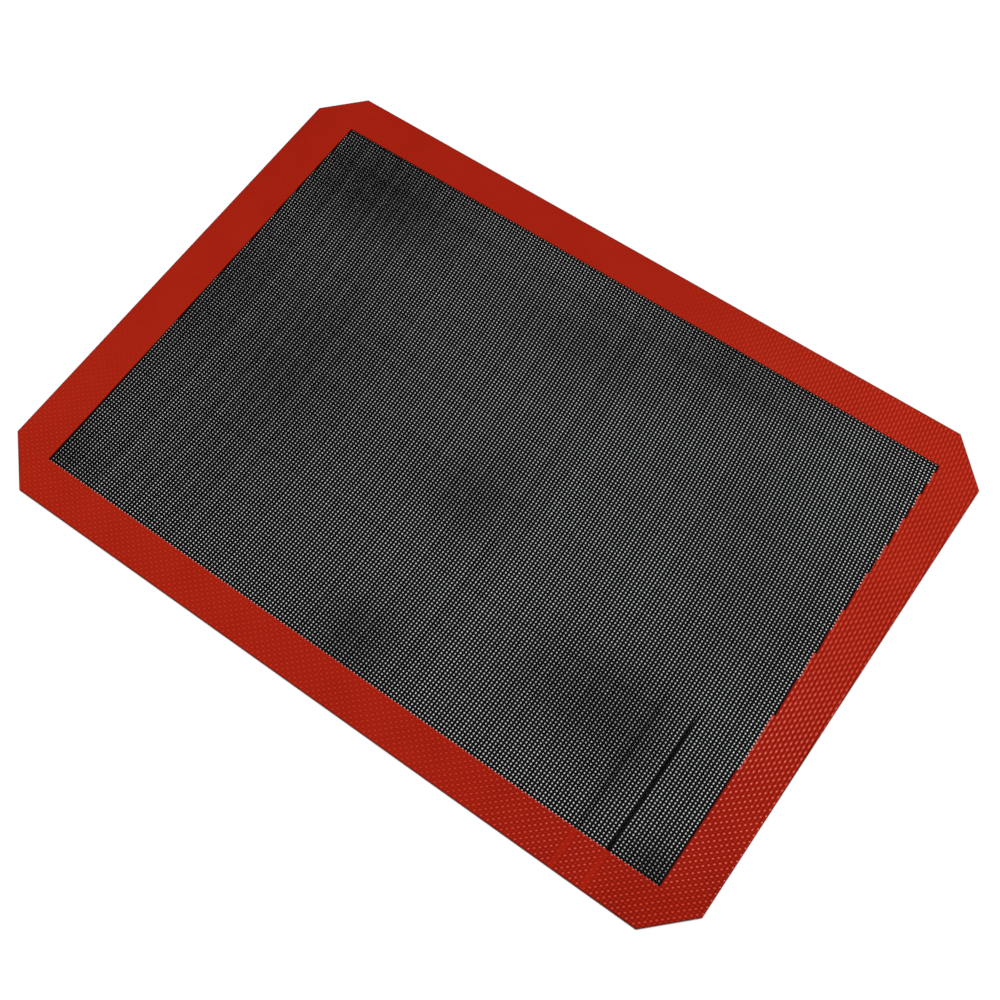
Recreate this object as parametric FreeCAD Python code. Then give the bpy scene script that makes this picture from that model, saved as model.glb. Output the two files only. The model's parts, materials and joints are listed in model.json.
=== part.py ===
"""Perforated silicone baking mat: a woven glass core, a black silicone coat and a red silicone border.

The sheet is one bonded laminate of flat layers. It bends, so it is divided across its length into strips
that turn on each other at their upper edges and let it roll up about its short side.
Millimetres. +X runs along the length, +Y across the width, +Z up, and the origin lies under the middle.
"""
import FreeCAD
import Part
import os

# The sheet, cut to the size of a baking tray
mat_length = 420.0
mat_width = 295.0

# The red border, as wide as each side shows it
west_border = 24.5
east_border = 22.5
south_border = 22.0
north_border = 22.0

# The corners, cut off at 45 degrees, measured along the sides
south_west_cut = 24.0
south_east_cut = 21.0
north_east_cut = 22.5
north_west_cut = 20.0

# The layers, from the middle of the sheet outwards
mesh_thickness = 0.30
coat_thickness = 0.15
border_thickness = 0.15

# The strips: one at each end, long enough for the cut corners, and even ones between them
end_strip_length = 30.0
even_strip_count = 18

# The open mesh, drawn coarse: one row of openings to each even strip, each for a patch of fine holes
openings_across = 8
opening_length = 8.6
opening_width = 13.7

# How far a cutting body reaches past what it cuts
overrun = 1.0

half_length = mat_length / 2
half_width = mat_width / 2
even_strip_length = (mat_length - 2 * end_strip_length) / even_strip_count

# Sides of the open mesh inside the border
field_west = west_border - half_length
field_east = half_length - east_border
field_south = south_border - half_width
field_north = half_width - north_border
opening_pitch = (field_north - field_south) / openings_across
opening_margin = (opening_pitch - opening_width) / 2

# Sides of the space that cutting bodies take up across the sheet
south_end = -half_width - overrun
north_end = half_width + overrun

# Heights of the layers above the surface that the mat lies on
lower_coat_bottom = border_thickness
mesh_bottom = lower_coat_bottom + coat_thickness
upper_coat_bottom = mesh_bottom + mesh_thickness
upper_border_bottom = upper_coat_bottom + coat_thickness
mat_thickness = upper_border_bottom + border_thickness


def flat(x, y):
    """A point on the surface that the mat lies on."""
    return FreeCAD.Vector(x, y, 0)


def mat_outline():
    """The eight corners of the cut sheet, anticlockwise from the south-west."""
    return [
        flat(south_west_cut - half_length, -half_width),
        flat(half_length - south_east_cut, -half_width),
        flat(half_length, south_east_cut - half_width),
        flat(half_length, half_width - north_east_cut),
        flat(half_length - north_east_cut, half_width),
        flat(north_west_cut - half_length, half_width),
        flat(-half_length, half_width - north_west_cut),
        flat(-half_length, south_west_cut - half_width),
    ]


def layer(bottom, thickness):
    """A flat layer over the whole sheet."""
    outline = mat_outline()
    face = Part.Face(Part.makePolygon(outline + outline[:1]))
    face.translate(FreeCAD.Vector(0, 0, bottom))
    return face.extrude(FreeCAD.Vector(0, 0, thickness))


def window(west, east, south, north):
    """The space over an oblong of the sheet, past both its faces."""
    corner = FreeCAD.Vector(west, south, -overrun)
    return Part.makeBox(east - west, north - south, mat_thickness + 2 * overrun, corner)


def border_bands(bottom):
    """The red bands round the field on one face: across both ends, and along the sides between them."""
    ring = layer(bottom, border_thickness)
    return [
        ring.common(window(-half_length - overrun, field_west, south_end, north_end)),
        ring.common(window(field_east, half_length + overrun, south_end, north_end)),
        ring.common(window(field_west, field_east, south_end, field_south)),
        ring.common(window(field_west, field_east, field_north, north_end)),
    ]


def strip_edges():
    """Where the sheet bends, from the west end to the east end."""
    first = end_strip_length - half_length
    bends = [first + step * even_strip_length for step in range(even_strip_count + 1)]
    return [-half_length] + bends + [half_length]


def bars_round_openings(west, east):
    """The space of one strip apart from its openings: a bar at each bend and short bars between."""
    opening_west = (west + east - opening_length) / 2
    opening_east = opening_west + opening_length
    west_bar = window(west, opening_west, south_end, north_end)
    east_bar = window(opening_east, east, south_end, north_end)
    bars = [west_bar, east_bar]
    starts = [field_south + row * opening_pitch + opening_margin for row in range(openings_across)]
    south_sides = [south_end] + [start + opening_width for start in starts]
    north_sides = starts + [north_end]
    for south, north in zip(south_sides, north_sides):
        bars.append(window(opening_west, opening_east, south, north))
    return bars


def save_strip(name, number, shapes, spaces):
    """Writes what lies of some layers or bands in one strip's spaces, each piece a solid of its own."""
    solids = []
    for shape in shapes:
        for space in spaces:
            solids.extend(shape.common(space).Solids)
    Part.makeCompound(solids).exportStep(f"parts/{name}_{number:02d}.step")


glass_mesh = [layer(mesh_bottom, mesh_thickness)]
black_coat = [layer(lower_coat_bottom, coat_thickness), layer(upper_coat_bottom, coat_thickness)]
red_border = border_bands(0) + border_bands(upper_border_bottom)

os.makedirs("parts", exist_ok=True)
edges = strip_edges()
last_strip = len(edges) - 1
for number, (west, east) in enumerate(zip(edges[:-1], edges[1:]), start=1):
    strip = [window(west, east, south_end, north_end)]
    open_strip = strip if number in (1, last_strip) else bars_round_openings(west, east)
    save_strip("glass_mesh", number, glass_mesh, open_strip)
    save_strip("black_coat", number, black_coat, open_strip)
    save_strip("red_border", number, red_border, strip)
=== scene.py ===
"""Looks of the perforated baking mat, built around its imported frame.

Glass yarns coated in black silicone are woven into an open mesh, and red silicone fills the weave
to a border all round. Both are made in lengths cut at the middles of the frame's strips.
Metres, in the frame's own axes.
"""

import json
import math

import bmesh
import bpy
import numpy as np
from mathutils import Matrix, Vector

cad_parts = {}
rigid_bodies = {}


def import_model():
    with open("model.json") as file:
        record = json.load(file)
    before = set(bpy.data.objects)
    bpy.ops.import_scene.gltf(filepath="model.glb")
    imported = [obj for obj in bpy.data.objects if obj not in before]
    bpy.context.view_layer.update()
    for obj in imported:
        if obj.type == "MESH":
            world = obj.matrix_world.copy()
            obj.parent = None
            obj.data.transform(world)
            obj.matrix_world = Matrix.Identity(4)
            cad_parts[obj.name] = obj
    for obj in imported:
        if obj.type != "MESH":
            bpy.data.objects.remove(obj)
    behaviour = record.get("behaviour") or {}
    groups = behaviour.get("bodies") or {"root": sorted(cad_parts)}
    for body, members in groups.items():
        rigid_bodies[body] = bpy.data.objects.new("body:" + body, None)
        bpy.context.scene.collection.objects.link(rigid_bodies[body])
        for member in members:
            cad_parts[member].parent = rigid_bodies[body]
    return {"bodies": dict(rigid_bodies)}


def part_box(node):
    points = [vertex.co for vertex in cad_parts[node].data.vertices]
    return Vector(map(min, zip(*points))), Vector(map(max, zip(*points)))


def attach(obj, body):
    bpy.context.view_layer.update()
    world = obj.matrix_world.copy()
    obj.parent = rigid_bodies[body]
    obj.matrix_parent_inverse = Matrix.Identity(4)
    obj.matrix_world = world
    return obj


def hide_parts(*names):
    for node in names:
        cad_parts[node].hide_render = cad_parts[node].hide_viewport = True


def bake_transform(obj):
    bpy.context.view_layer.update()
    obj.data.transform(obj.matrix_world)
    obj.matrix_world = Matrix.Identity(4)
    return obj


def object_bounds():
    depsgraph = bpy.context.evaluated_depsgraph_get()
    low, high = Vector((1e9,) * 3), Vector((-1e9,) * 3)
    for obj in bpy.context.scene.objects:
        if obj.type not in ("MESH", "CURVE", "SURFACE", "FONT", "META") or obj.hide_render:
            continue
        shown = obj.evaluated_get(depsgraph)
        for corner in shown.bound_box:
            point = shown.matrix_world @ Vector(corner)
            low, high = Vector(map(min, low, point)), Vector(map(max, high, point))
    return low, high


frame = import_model()
cad_low, cad_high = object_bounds()

MM = 0.001
RIGHT_ANGLE = math.radians(90)

# Points nearer to each other, or to a cut, than this count as one
least_edge = 0.001 * MM

# The border and the cut corners, as the frame has them
west_border = 24.5 * MM
east_border = 22.5 * MM
south_border = 22.0 * MM
north_border = 22.0 * MM
corner_cuts = {(-1, -1): 24.0 * MM, (1, -1): 21.0 * MM, (1, 1): 22.5 * MM, (-1, 1): 20.0 * MM}

half_length = cad_high.x
half_width = cad_high.y
mat_top = cad_high.z
field_west = west_border - half_length
field_east = half_length - east_border
field_south = south_border - half_width
field_north = half_width - north_border

# The weave: yarns along the length and across it, their pitch, their coated width and thickness,
# how far they wave over and under each other, how their width changes along them, and how far they run
# on inside the border
cross_pitch = 1.887 * MM
long_pitch = 1.76 * MM
cross_yarn_width = 1.265 * MM
long_yarn_width = 0.93 * MM
yarn_thickness = 0.34 * MM
yarn_wave = 0.16 * MM
width_at_crossing = 1.06
width_between = 0.95
tuck = 2.0 * MM

# How finely a yarn is drawn, and how many crossings one along the mat is longer than its stretch
# between two cuts
yarn_sides = 6
rings_per_crossing = 2
spare_crossings = 3

# No yarn is quite like the next: each drifts a little from even pitch, and takes more or less coat
yarn_drift = 0.028 * MM
coat_spread = 0.025
most_yarns = 400
chance = np.random.default_rng(seed=5)
long_drift = chance.normal(0, yarn_drift, most_yarns)
cross_drift = chance.normal(0, yarn_drift, most_yarns)
long_fullness = chance.normal(1, coat_spread, most_yarns)
cross_fullness = chance.normal(1, coat_spread, most_yarns)

# The cross yarns run square to the long sides in the south. From the start of the lean they bend west,
# with the slope given here at its far place
lean_start = -90.0 * MM
lean_far = 80.0 * MM
lean_slope = 0.11
lean_rate = lean_slope / (2 * (lean_far - lean_start))

# The creases: cross yarns pressed together from the south border inwards, one pair shut and one half
# shut. They are full in the south and fade out between two places
creases = [(84.5 * cross_pitch, 1.0), (75.5 * cross_pitch, 0.40)]
crease_inner = (cross_pitch - cross_yarn_width) / 2
crease_outer = (cross_pitch + cross_yarn_width) / 2
crease_full = -58.0 * MM
crease_end = -44.0 * MM

# Where the mat has sprung off what it lies on: the place, reach and height of each rise
rises = [
    (-150 * MM, 105 * MM, 50 * MM, 28 * MM, 0.32 * MM),
    (-185 * MM, 10 * MM, 25 * MM, 60 * MM, 0.14 * MM),
    (-115 * MM, -10 * MM, 40 * MM, 60 * MM, 0.14 * MM),
    (5 * MM, 85 * MM, 50 * MM, 25 * MM, 0.12 * MM),
    (4 * MM, -18 * MM, 24 * MM, 22 * MM, 0.19 * MM),
    (2 * MM, -112 * MM, 20 * MM, 20 * MM, 0.30 * MM),
    (75 * MM, 114 * MM, 45 * MM, 18 * MM, 0.18 * MM),
    (120 * MM, 55 * MM, 35 * MM, 30 * MM, 0.10 * MM),
    (122 * MM, -72 * MM, 40 * MM, 26 * MM, 0.40 * MM),
    (155 * MM, 5 * MM, 30 * MM, 35 * MM, 0.14 * MM),
    (143 * MM, -95 * MM, 7 * MM, 35 * MM, 0.18 * MM),
    (-180 * MM, -118 * MM, 20 * MM, 14 * MM, 0.14 * MM),
    (186 * MM, -124 * MM, 22 * MM, 14 * MM, 0.75 * MM),
]

# The red silicone fills whole holes: in the south and north it covers the yarn beside the last open
# ones, in the east it ends on either side of a yarn, and in the west it ends in a straight line.
# Its grid has a few cells to the pitch of the weave
cells_per_pitch = 3
covered = 1 / cells_per_pitch
row_south = round(field_south / long_pitch - covered)
row_north = round(field_north / long_pitch + covered)

# The weave shows through the red silicone as low knuckles, every other one taller: dots in the south, and
# dashes along each cross yarn farther north. The silicone is thick over the north-west and thin over the
# south and the east, where the knuckles stand out. A shallow groove carries on each crease
# Where the knuckles stand out, their tops also get painted highlight and the hollows between them painted
# shade
least_relief = 0.08
relief_east = 160.0 * MM
relief_loss = 0.4
south_relief = 0.46
south_start = -40.0 * MM
south_full = -130.0 * MM
knuckle = 0.115 * MM
low_knuckle = 0.35
dot_power = 3
dot_hollow = 0.1
dash_power = 1.5
dash_start = -110.0 * MM
dash_full = -20.0 * MM
groove_reach = 1.25 * MM
groove_depth = 0.03 * MM

# The red is even where it is thick, and a painted sheen lightens it in a band from the south-west corner to
# the north-east one
flat_share = 0.2
# Painted sheen: how much lighter the red is made along the band
painted_sheen = 0.05
sheen_reach = 0.5

# A dark line along the cut edge, where the coated glass shows, full on the edge itself; and painted shade,
# half as dark, on a narrow rim beside it
edge_reach = 0.04 * MM
rim = 0.4 * MM
rim_shade = 0.5

# The red silicone's edges look sharp where they turn by more than this
rim_angle = math.radians(50)


def lean(y):
    """How far the weave is shifted along X at a place across the mat."""
    return -lean_rate * np.maximum(y - lean_start, 0) ** 2


def rise(x, y):
    """How high the mat has sprung up at a place."""
    height = np.zeros_like(x)
    for east, north, reach_x, reach_y, top in rises:
        height += top * np.exp(-((x - east) / reach_x) ** 2 - ((y - north) / reach_y) ** 2)
    return height


def ease(t):
    """A smooth step from nought to one."""
    t = np.clip(t, 0, 1)
    return t * t * (3 - 2 * t)


def relief_share(x, y):
    """How far the knuckles stand out at a place, up to one."""
    northwards = (y / half_width + 1) / 2
    east = ease(x / relief_east) * (1 - relief_loss * northwards)
    south = south_relief * ease((y - south_start) / (south_full - south_start))
    return least_relief + (1 - least_relief) * np.maximum(east, south)


def sheen_band_share(x, y):
    """How near a place is to the band of painted sheen, up to one."""
    slant = (x / half_length - y / half_width) / 2
    return np.exp(-(slant / sheen_reach) ** 2)


def crease_share(y):
    """How far the crease has closed at a place across the mat, from nought to one."""
    return ease((crease_end - y) / (crease_end - crease_full))


def in_field(x, y):
    """Whether a place lies among the open holes."""
    middle = (math.floor(y / long_pitch) + 0.5) * long_pitch
    end = (field_east - lean(middle)) / cross_pitch
    yarn = round(end)
    east = (yarn + math.copysign(covered, end - yarn)) * cross_pitch
    south = (row_south + covered) * long_pitch
    north = (row_north - covered) * long_pitch
    return x > field_west and x - lean(y) < east and south < y < north


def from_outline(x, y):
    """How far inside the outline a place lies."""
    inside = min(half_length - abs(x), half_width - abs(y))
    for (end, hand), length in corner_cuts.items():
        inside = min(inside, (half_length + half_width - length - end * x - hand * y) / math.sqrt(2))
    return inside


def places_of(mesh):
    """The places of a mesh's vertices."""
    flat = np.empty(len(mesh.vertices) * 3, np.float32)
    mesh.vertices.foreach_get("co", flat)
    return flat.reshape(-1, 3).astype(float)


def move_to(mesh, places):
    """Moves a mesh's vertices."""
    mesh.vertices.foreach_set("co", places.astype(np.float32).ravel())
    mesh.update()


def mesh_from(bm, name):
    """Turns a bmesh into a mesh."""
    mesh = bpy.data.meshes.new(name)
    bm.to_mesh(mesh)
    bm.free()
    return mesh


def cut(bm, point, outward, clear=True):
    """Cuts along a plane, and clears what lies beyond it unless told not to."""
    bmesh.ops.bisect_plane(
        bm, geom=bm.verts[:] + bm.edges[:] + bm.faces[:], dist=least_edge,
        plane_co=point, plane_no=outward, clear_outer=clear)


def add_piece(mesh, west, east, material):
    """Makes a piece of the mat from a mesh, with a map named OFBake straight down onto it."""
    places = places_of(mesh)
    corners = np.empty(len(mesh.loops), np.int32)
    mesh.loops.foreach_get("vertex_index", corners)
    across = (places[corners, 0] - west) / (east - west)
    along = (places[corners, 1] + half_width) / (2 * half_width)
    layer = mesh.uv_layers.new(name="OFBake")
    layer.data.foreach_set("uv", np.stack([across, along], 1).astype(np.float32).ravel())
    mesh.materials.append(material)
    piece = bpy.data.objects.new(mesh.name, mesh)
    bpy.context.scene.collection.objects.link(piece)
    return piece


def straight_yarn(turn, width, length, rings):
    """One straight coated yarn from the origin, along X turned by an angle."""
    bm = bmesh.new()
    lying = Matrix.Rotation(RIGHT_ANGLE, 4, "Y")
    bmesh.ops.create_cone(
        bm, cap_ends=True, segments=yarn_sides, radius1=0.5, radius2=0.5, depth=1, matrix=lying)
    bmesh.ops.translate(bm, vec=(0.5, 0, 0), verts=bm.verts)
    flats = math.cos(math.pi / yarn_sides)
    bmesh.ops.scale(bm, vec=(length, width, yarn_thickness / flats), verts=bm.verts)
    long_edges = [e for e in bm.edges if e.calc_length() > length / 2]
    bmesh.ops.subdivide_edges(bm, edges=long_edges, cuts=rings - 1, use_grid_fill=True)
    bmesh.ops.rotate(bm, cent=(0, 0, 0), matrix=Matrix.Rotation(turn, 3, "Z"), verts=bm.verts)
    return mesh_from(bm, "yarn")


def side_by_side(mesh, count, step):
    """Repeats a yarn side by side."""
    yarn = bpy.data.objects.new("yarn", mesh)
    bpy.context.scene.collection.objects.link(yarn)
    rows = yarn.modifiers.new("rows", "ARRAY")
    rows.count = count
    rows.use_relative_offset = False
    rows.use_constant_offset = True
    rows.constant_offset_displace = step
    yarns = bpy.data.meshes.new_from_object(yarn.evaluated_get(bpy.context.evaluated_depsgraph_get()))
    bpy.data.objects.remove(yarn)
    bpy.data.meshes.remove(mesh)
    return yarns


def weave(places, along, across, along_pitch, across_pitch, over, drift, fullness):
    """Waves straight yarns over and under each other, widens them where they cross, and lets each drift."""
    number = np.rint(places[:, across] / across_pitch).astype(int)
    wave = np.cos(math.pi * places[:, along] / along_pitch)
    swell = fullness[number] * (width_between + (width_at_crossing - width_between) * wave ** 2)
    centre = number * across_pitch
    places[:, across] = centre + (places[:, across] - centre) * swell + drift[number]
    places[:, 2] += over * np.where(number % 2 == 0, 1, -1) * wave * yarn_wave


def settle(places):
    """Lays the flat weave as the mat has it: creased, leaning and sprung up."""
    x, y = places[:, 0], places[:, 1]
    for gap, shut in creases:
        aside = np.abs(x - gap)
        closed = crease_outer * np.clip((aside - crease_inner) / (crease_outer - crease_inner), 0, 1)
        shift = np.where(aside < crease_outer, closed - aside, 0) * shut * crease_share(y)
        x += np.sign(x - gap) * shift
    x += lean(y)
    places[:, 2] += mat_top / 2 + rise(x, y)


def long_yarns(west, east):
    """The yarns along the mat, each from just west of a cut to just east of another."""
    crossings = math.ceil((east - west) / cross_pitch) + spare_crossings
    yarn = straight_yarn(0, long_yarn_width, crossings * cross_pitch, crossings * rings_per_crossing)
    mesh = side_by_side(yarn, row_north - row_south + 1, (0, long_pitch, 0))
    places = places_of(mesh)
    places[:, 1] += row_south * long_pitch
    row = np.rint(places[:, 1] / long_pitch)
    places[:, 0] += (np.floor((west - lean(row * long_pitch)) / cross_pitch) - 1) * cross_pitch
    weave(places, 0, 1, cross_pitch, long_pitch, 1, long_drift, long_fullness)
    settle(places)
    move_to(mesh, places)
    return mesh


def cross_yarns(west, east):
    """The yarns across the mat, all that pass between two cuts, tucked into the border at both ends."""
    south = math.floor((field_south - tuck) / long_pitch)
    north = math.ceil((field_north + tuck) / long_pitch)
    first = math.floor(west / cross_pitch)
    last = math.ceil((east - lean(north * long_pitch)) / cross_pitch)
    crossings = north - south
    yarn = straight_yarn(
        RIGHT_ANGLE, cross_yarn_width, crossings * long_pitch, crossings * rings_per_crossing)
    mesh = side_by_side(yarn, last - first + 1, (cross_pitch, 0, 0))
    places = places_of(mesh) + (first * cross_pitch, south * long_pitch, 0)
    weave(places, 1, 0, long_pitch, cross_pitch, -1, cross_drift, cross_fullness)
    settle(places)
    move_to(mesh, places)
    return mesh


def woven_length(name, west, east):
    """The black mesh between two cuts across the mat, with the cut ends of its yarns closed."""
    bm = bmesh.new()
    for yarns in (long_yarns(west, east), cross_yarns(west, east)):
        bm.from_mesh(yarns)
        bpy.data.meshes.remove(yarns)
    cut(bm, (west, 0, 0), (-1, 0, 0))
    cut(bm, (east, 0, 0), (1, 0, 0))
    ends = bmesh.ops.holes_fill(bm, edges=[e for e in bm.edges if e.is_boundary], sides=0)["faces"]
    # A new end that runs round an edge the same way as the yarn does faces inwards
    for face in ends:
        corner = face.loops[0]
        if corner.link_loop_radial_next.vert == corner.vert:
            face.normal_flip()
    mesh = mesh_from(bm, name)
    mesh.shade_smooth()
    return mesh


def silicone_grid(bm, west, east, south, north):
    """A flat grid over an oblong of the sheet, in line with the weave below it."""
    cell_x = cross_pitch / cells_per_pitch
    cell_y = long_pitch / cells_per_pitch
    first = math.floor((west - lean(south)) / cell_x) - 1
    last = math.ceil((east - lean(north)) / cell_x) + 1
    low = math.floor(south / cell_y)
    high = math.ceil(north / cell_y)
    grid = bmesh.ops.create_grid(bm, x_segments=last - first, y_segments=high - low, size=0.5)["verts"]
    bmesh.ops.scale(bm, vec=((last - first) * cell_x, (high - low) * cell_y, 1), verts=grid)
    bmesh.ops.translate(
        bm, vec=((first + last) * cell_x / 2, (low + high) * cell_y / 2, 0), verts=grid)
    for v in grid:
        v.co.x += lean(v.co.y)


def border_length(name, west, east):
    """The red silicone between two cuts across the mat."""
    bm = bmesh.new()
    whole = west < field_west or east > field_east
    if whole:
        silicone_grid(bm, west, east, -half_width, half_width)
    else:
        silicone_grid(bm, west, east, -half_width, field_south + long_pitch)
        silicone_grid(bm, west, east, field_north - long_pitch, half_width)
    # The outline, lines along its rim, and the straight west edge of the field
    cut(bm, (west, 0, 0), (-1, 0, 0))
    cut(bm, (east, 0, 0), (1, 0, 0))
    for hand in (-1, 1):
        cut(bm, (0, hand * half_width, 0), (0, hand, 0))
        cut(bm, (0, hand * (half_width - rim), 0), (0, hand, 0), clear=False)
    if whole:
        for end in (-1, 1):
            cut(bm, (end * (half_length - rim), 0, 0), (end, 0, 0), clear=False)
        for (end, hand), length in corner_cuts.items():
            slope = Vector((end, hand, 0)).normalized()
            corner = Vector((end * (half_length - length), hand * half_width, 0))
            cut(bm, corner, slope)
            cut(bm, corner - rim * slope, slope, clear=False)
        cut(bm, (field_west, 0, 0), (1, 0, 0), clear=False)
    field = [face for face in bm.faces if in_field(*face.calc_center_median().xy)]
    bmesh.ops.delete(bm, geom=field, context="FACES")
    bmesh.ops.remove_doubles(bm, verts=bm.verts, dist=least_edge)
    upper = bmesh.ops.extrude_face_region(bm, geom=bm.faces[:])["geom"]
    bmesh.ops.translate(
        bm, vec=(0, 0, mat_top), verts=[part for part in upper if isinstance(part, bmesh.types.BMVert)])
    bmesh.ops.recalc_face_normals(bm, faces=bm.faces)
    cut_edge = bm.faces.layers.float.new("cut_edge")
    for face in bm.faces:
        inside = from_outline(*face.calc_center_median().xy)
        face[cut_edge] = 1.0 if inside < edge_reach else rim_shade if inside < rim else 0.0
    mesh = mesh_from(bm, name)
    emboss(mesh)
    mesh.shade_smooth()
    mesh.set_sharp_from_angle(angle=rim_angle)
    return mesh


def emboss(mesh):
    """Raises the weave's knuckles on both faces of the red silicone, and stores how much painted highlight,
    painted shade and painted sheen each place takes.
    """
    places = places_of(mesh)
    x, y = places[:, 0], places[:, 1]
    upper = places[:, 2] > mat_top / 2
    weave_x = x - lean(y)
    across = np.cos(math.pi * weave_x / cross_pitch)
    along = np.cos(math.pi * y / long_pitch) * np.where(upper, 1, -1)
    over = np.sign(across) * along
    tallness = np.where(over > 0, 1, low_knuckle)
    dots = dot_hollow + (1 - dot_hollow) * tallness * np.abs(across * along) ** dot_power
    dashes = np.abs(across) ** dot_power * (low_knuckle + (1 - low_knuckle) * ((1 + over) / 2) ** dash_power)
    top = dots + (dashes - dots) * ease((y - dash_start) / (dash_full - dash_start))
    smooth = sum(np.exp(-((weave_x - gap) / groove_reach) ** 2) for gap, _ in creases) * (y < field_south)
    relief = relief_share(x, y) * (1 - smooth)
    below = knuckle * (1 - top) * relief + groove_depth * smooth
    places[:, 2] = np.where(upper, mat_top - below, below) + rise(x, y)
    move_to(mesh, places)
    painted_light = mesh.attributes.new("knuckle_painted_light", "FLOAT", "POINT")
    # Painted highlight on the knuckle tops and painted shade in the hollows, as strong as the knuckles stand
    # out, plus a band of painted sheen
    lit = np.where(top > flat_share, relief, relief ** 2)
    share = flat_share + (top - flat_share) * lit + painted_sheen * sheen_band_share(x, y)
    painted_light.data.foreach_set("value", share.astype(np.float32))


def linear(colour):
    """An sRGB hex colour as a linear one."""
    shares = [int(colour[i:i + 2], 16) / 255 for i in (1, 3, 5)]
    return [s / 12.92 if s <= 0.04045 else ((s + 0.055) / 1.055) ** 2.4 for s in shares] + [1.0]


def add_node(tree, kind, inputs, **settings):
    """Adds a node with its settings, and sets or links its inputs."""
    node = tree.nodes.new(kind)
    for name, value in settings.items():
        setattr(node, name, value)
    for name, value in inputs.items():
        if isinstance(value, bpy.types.NodeSocket):
            tree.links.new(value, node.inputs[name])
        else:
            node.inputs[name].default_value = value
    return node


def new_material(name):
    """An empty material, its node tree and its object coordinates."""
    material = bpy.data.materials.new(name)
    material.use_nodes = True
    tree = material.node_tree
    tree.nodes.clear()
    place = add_node(tree, "ShaderNodeTexCoord", {}).outputs["Object"]
    return material, tree, place


def noise(tree, place, size, detail):
    """A cloudy pattern of a given size, from nought to one."""
    return add_node(
        tree, "ShaderNodeTexNoise", {"Vector": place, "Scale": 1 / size, "Detail": detail}).outputs["Fac"]


def mixed(tree, share, first, second):
    """A colour between two others."""
    return add_node(tree, "ShaderNodeMix", {0: share, 6: first, 7: second}, data_type="RGBA").outputs[2]


# Any silicone skin: cloudy over some centimetres, and finely grained
silicone_ior = 1.41
cloud_size = 28 * MM
skin_grain = 0.9 * MM
skin_depth = 0.02 * MM
grain_detail = 2.0

# Silicone rubber knife-coated onto woven glass yarn and cured: near black, satin, and faintly
# cloudy where the coat is thicker
coat_thin = "#020202"
coat_thick = "#070708"
coat_cloud_detail = 3.0
coat_least_roughness = 0.20
coat_most_roughness = 0.27
coat_skin = 0.25
coat_shine = 0.035


def black_silicone():
    """The black coat of the yarns."""
    material, tree, place = new_material("black_silicone_rubber_coated_on_glass_yarn")
    clouds = noise(tree, place, cloud_size, coat_cloud_detail)
    grain = noise(tree, place, skin_grain, grain_detail)
    colour = mixed(tree, clouds, linear(coat_thin), linear(coat_thick))
    rough = add_node(tree, "ShaderNodeMapRange", {
        "Value": grain, "To Min": coat_least_roughness, "To Max": coat_most_roughness})
    skin = add_node(
        tree, "ShaderNodeBump", {"Height": grain, "Strength": coat_skin, "Distance": skin_depth})
    shader = add_node(tree, "ShaderNodeBsdfPrincipled", {
        "Base Color": colour, "Roughness": rough.outputs["Result"], "Normal": skin.outputs["Normal"],
        "IOR": silicone_ior, "Specular IOR Level": coat_shine})
    add_node(tree, "ShaderNodeOutputMaterial", {"Surface": shader.outputs["BSDF"]})
    return material


# Pigmented silicone rubber screen-printed through the weave and cured: deep red, shiny on the knuckles and
# dull in the hollows, and mottled where the print is thinner. Painted highlight lightens the knuckle tops,
# painted shade darkens the hollows between them, and a painted sheen lightens a band across the mat. Dark
# along the cut edge, where the coated glass lies open, with painted shade on a narrow rim beside it
# Painted shade in the hollows, the plain red, and painted highlight on the knuckle tops
shaded_hollow_red = "#540300"
flat_red = "#981703"
highlight_knuckle_red = "#e0462a"
cut_edge_brown = "#2a0d09"
mottle = 0.05
print_cloud_detail = 4.0
dull_below = 0.3
shiny_above = 0.6
dull_roughness = 0.62
shiny_roughness = 0.18
print_skin = 0.2
print_shine = 0.05


def red_silicone():
    """The red print of the border."""
    material, tree, place = new_material("red_silicone_rubber_printed_on_weave")
    clouds = noise(tree, place, cloud_size, print_cloud_detail)
    grain = noise(tree, place, skin_grain, grain_detail)
    painted_light = add_node(tree, "ShaderNodeAttribute", {}, attribute_name="knuckle_painted_light").outputs["Fac"]
    patches = add_node(tree, "ShaderNodeMapRange", {"Value": clouds, "To Min": -mottle, "To Max": mottle})
    light = add_node(tree, "ShaderNodeMath", {0: painted_light, 1: patches.outputs["Result"]}, operation="ADD")
    reds = add_node(tree, "ShaderNodeValToRGB", {"Fac": light.outputs["Value"]})
    stops = reds.color_ramp.elements
    stops[0].color = linear(shaded_hollow_red)
    stops[1].color = linear(highlight_knuckle_red)
    stops.new(flat_share).color = linear(flat_red)
    edge = add_node(tree, "ShaderNodeAttribute", {}, attribute_name="cut_edge").outputs["Fac"]
    colour = mixed(tree, edge, reds.outputs["Color"], linear(cut_edge_brown))
    rough = add_node(tree, "ShaderNodeMapRange", {
        "Value": painted_light, "From Min": dull_below, "From Max": shiny_above,
        "To Min": dull_roughness, "To Max": shiny_roughness})
    skin = add_node(
        tree, "ShaderNodeBump", {"Height": grain, "Strength": print_skin, "Distance": skin_depth})
    shader = add_node(tree, "ShaderNodeBsdfPrincipled", {
        "Base Color": colour, "Roughness": rough.outputs["Result"], "Normal": skin.outputs["Normal"],
        "IOR": silicone_ior, "Specular IOR Level": print_shine})
    add_node(tree, "ShaderNodeOutputMaterial", {"Surface": shader.outputs["BSDF"]})
    return material


black = black_silicone()
red = red_silicone()

# The mat in lengths: each runs from the middle of one strip to the middle of the next. The two end lengths
# of the border go with the end strips
strips = sorted(frame["bodies"])
strip_boxes = [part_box(f"glass_mesh_{number:02d}") for number in range(1, len(strips) + 1)]
middles = [(low.x + high.x) / 2 for low, high in strip_boxes]
cuts = [-half_length] + middles + [half_length]

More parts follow.
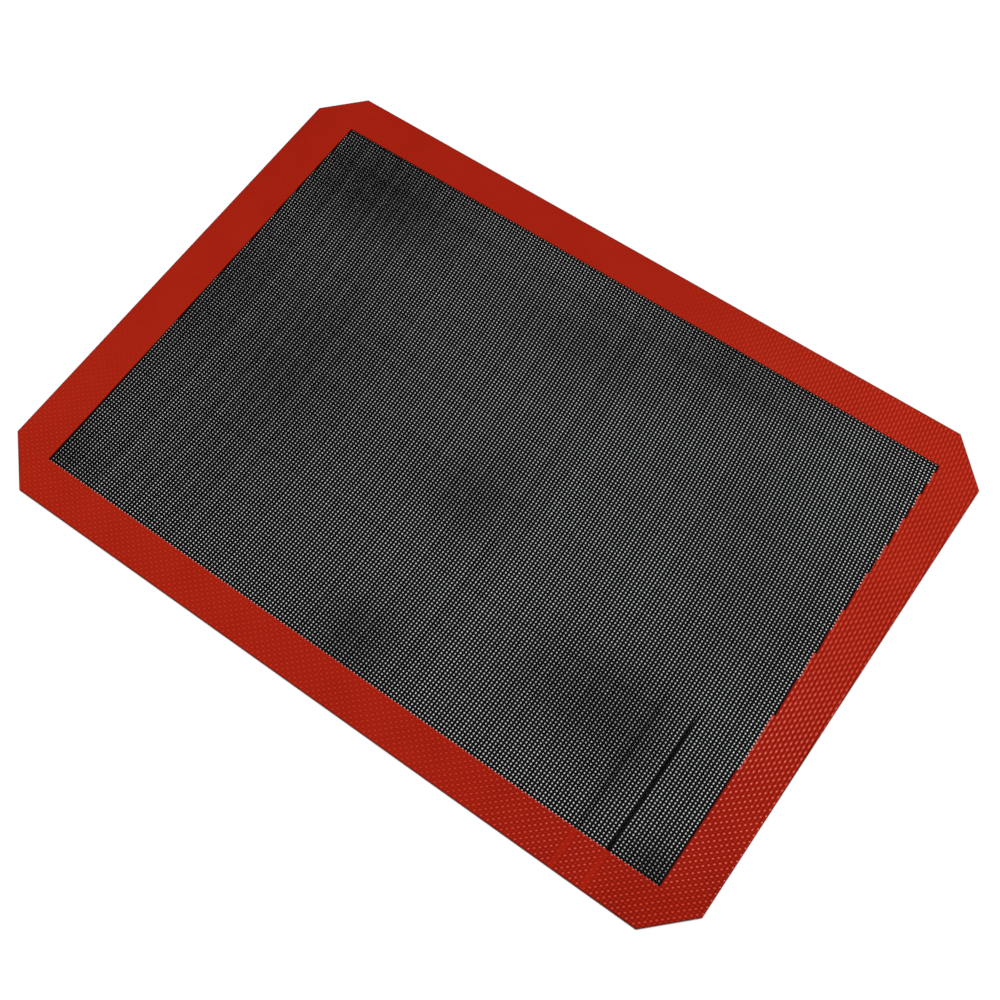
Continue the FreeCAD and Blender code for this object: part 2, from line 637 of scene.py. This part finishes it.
borders = []
for number, (west, east) in enumerate(zip(cuts[:-1], cuts[1:])):
    slab = border_length(f"red_silicone_border_{number:02d}", west, east)
    borders.append(add_piece(slab, west, east, red))
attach(borders[0], strips[0])
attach(borders[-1], strips[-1])
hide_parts("red_border_01")
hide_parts(f"red_border_{len(strips):02d}")

for number in range(1, len(strips)):
    west, east = middles[number - 1], middles[number]
    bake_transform(borders[number])
    west, east = max(west, field_west - tuck), min(east, field_east + tuck)
    yarns = woven_length(f"black_woven_mesh_{number:02d}", west, east)
    mesh = add_piece(yarns, west, east, black)
    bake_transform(mesh)
    stood_for = [number]
    if number == 1:
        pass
    else:
        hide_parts(f"red_border_{number:02d}")
    if number == len(strips) - 1:
        stood_for.append(number + 1)
    for strip in stood_for:
        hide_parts(f"glass_mesh_{strip:02d}", f"black_coat_{strip:02d}")


# The floor: matt white paper, all but even
floor_size = 12.0
fibre_size = 40 * MM
fibre_detail = 2.0
off_white = "#fbfbfb"
white = "#ffffff"
floor_material, tree, place = new_material("matt_white_paper")
fibres = noise(tree, place, fibre_size, fibre_detail)
paper_colour = mixed(tree, fibres, linear(off_white), linear(white))
paper = add_node(tree, "ShaderNodeBsdfDiffuse", {"Color": paper_colour})
add_node(tree, "ShaderNodeOutputMaterial", {"Surface": paper.outputs["BSDF"]})
floor_bm = bmesh.new()
bmesh.ops.create_grid(floor_bm, x_segments=1, y_segments=1, size=floor_size / 2)
floor_mesh = mesh_from(floor_bm, "floor")
floor_mesh.materials.append(floor_material)
floor = bpy.data.objects.new("floor", floor_mesh)
bpy.context.scene.collection.objects.link(floor)

# Soft light from above and a little behind the far corner, and a white sky
lamp_from = Vector((-0.09, 0.25, 0.96))
lamp_strength = 1.95
lamp_spread = math.radians(4.5)
sky_strength = 0.5
white_strength = 1.0
lamp = bpy.data.objects.new("lamp", bpy.data.lights.new("lamp", "SUN"))
lamp.data.energy = lamp_strength
lamp.data.angle = lamp_spread
lamp.rotation_euler = lamp_from.to_track_quat("Z", "Y").to_euler()
bpy.context.scene.collection.objects.link(lamp)

world = bpy.data.worlds.new("white_studio")
world.use_nodes = True
sky = world.node_tree
sky.nodes.clear()
path = add_node(sky, "ShaderNodeLightPath", {})
seen = path.outputs["Is Camera Ray"]
for ray in ("Is Glossy Ray", "Is Transmission Ray"):
    either = add_node(sky, "ShaderNodeMath", {0: seen, 1: path.outputs[ray]}, operation="MAXIMUM")
    seen = either.outputs["Value"]
strength = add_node(
    sky, "ShaderNodeMapRange", {"Value": seen, "To Min": sky_strength, "To Max": white_strength})
backdrop = add_node(
    sky, "ShaderNodeBackground", {"Color": linear(white), "Strength": strength.outputs["Result"]})
add_node(sky, "ShaderNodeOutputWorld", {"Surface": backdrop.outputs["Background"]})
bpy.context.scene.world = world

# The camera stands over the near corner. Its sensor and lens are in millimetres
camera_place = Vector((225.862, -248.852, 680.915)) * MM
camera_turn = math.radians(41.3369)
camera_height = math.radians(65.2296)
camera_roll = math.radians(-6.0941)
sensor_width = 36.0
lens_length = 54.09
camera = bpy.data.objects.new("camera", bpy.data.cameras.new("camera"))
camera.data.sensor_width = sensor_width
camera.data.lens = lens_length
camera.matrix_world = (
    Matrix.Translation(camera_place) @ Matrix.Rotation(camera_turn, 4, "Z")
    @ Matrix.Rotation(RIGHT_ANGLE - camera_height, 4, "X") @ Matrix.Rotation(camera_roll, 4, "Z"))
bpy.context.scene.collection.objects.link(camera)
bpy.context.scene.camera = camera
bpy.context.scene.view_settings.view_transform = "Standard"
